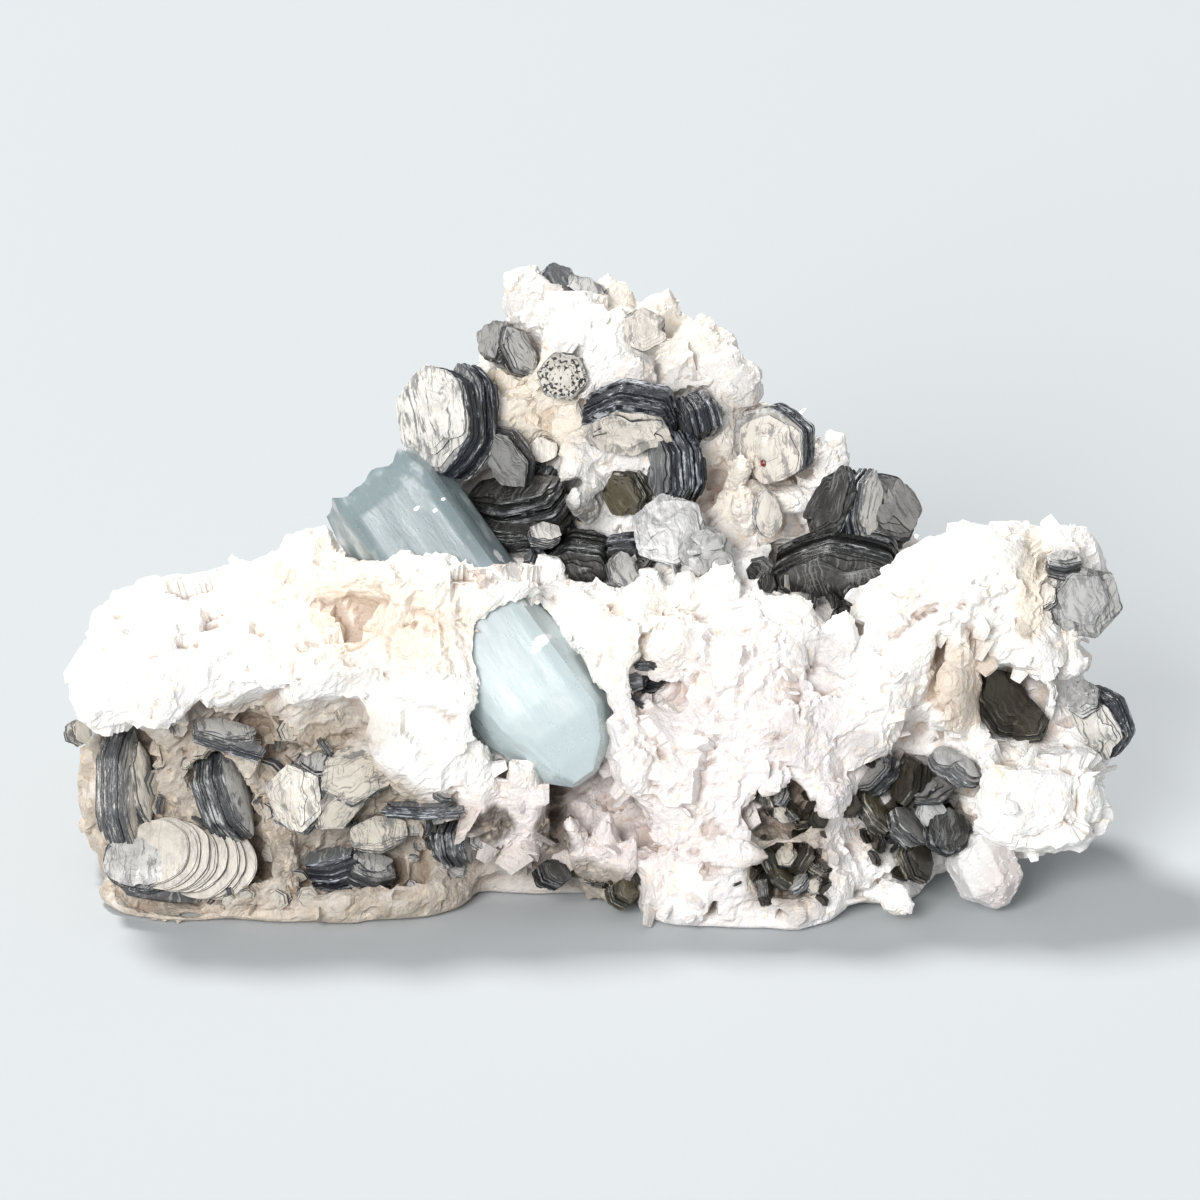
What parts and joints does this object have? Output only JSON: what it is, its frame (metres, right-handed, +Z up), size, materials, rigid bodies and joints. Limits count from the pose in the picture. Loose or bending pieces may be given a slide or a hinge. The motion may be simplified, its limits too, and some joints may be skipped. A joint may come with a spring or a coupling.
{
  "type": "aquamarine crystal specimen",
  "caption": "Pale blue aquamarine prism grown through white bladed albite with grey muscovite mica books, cut flat below to stand.",
  "frame": {"origin": "middle of the bounding box, on the flat cut that the specimen stands on", "axes": "+Z up, +X to the right seen from the display face, which looks towards -Y and leans back"},
  "size_m": [0.1797, 0.0776, 0.0949],
  "materials": {
    "albite": "rough, sugary white feldspar, stained beige low on the left",
    "aquamarine": "glassy pale blue with faint streaks along its length",
    "mica": "pearly sheets, cream to silver on the flats and dark slate on the edges",
    "quartz": "cloudy pinkish white, slightly glassy"
  },
  "bodies": {
    "root": {"albite_matrix": "albite", "aquamarine_crystal": "aquamarine", "mica_beige_block": "mica", "mica_beige_disc": "mica", "mica_big_left": "mica", "mica_black_stack": "mica", "mica_centre": "mica", "mica_centre_pocket": "mica", "mica_cream_disc": "mica", "mica_cream_top": "mica", "mica_dark_bar": "mica", "mica_foot_left": "mica", "mica_foot_right": "mica", "mica_grey_base": "mica", "mica_grey_top_left": "mica", "mica_in_right_pocket": "mica", "mica_left_edge": "mica", "mica_left_fan": "mica", "mica_left_wedge": "mica", "mica_lower_pocket": "mica", "mica_lower_right_cluster": "mica", "mica_olive": "mica", "mica_pale_slab": "mica", "mica_right_cluster": "mica", "mica_right_plate": "mica", "mica_right_rim": "mica", "mica_right_small": "mica", "mica_right_tiny": "mica", "mica_round_right": "mica", "mica_silver_plate": "mica", "mica_silver_rosette": "mica", "mica_slanted": "mica", "mica_small_grey_hexagon": "mica", "mica_small_light_hexagon": "mica", "mica_small_stack": "mica", "mica_speckled": "mica", "mica_thin_plates": "mica", "mica_top": "mica", "mica_upright_dark": "mica", "mica_valley_left": "mica", "quartz_crystal": "quartz"}
  },
  "joints": []
}
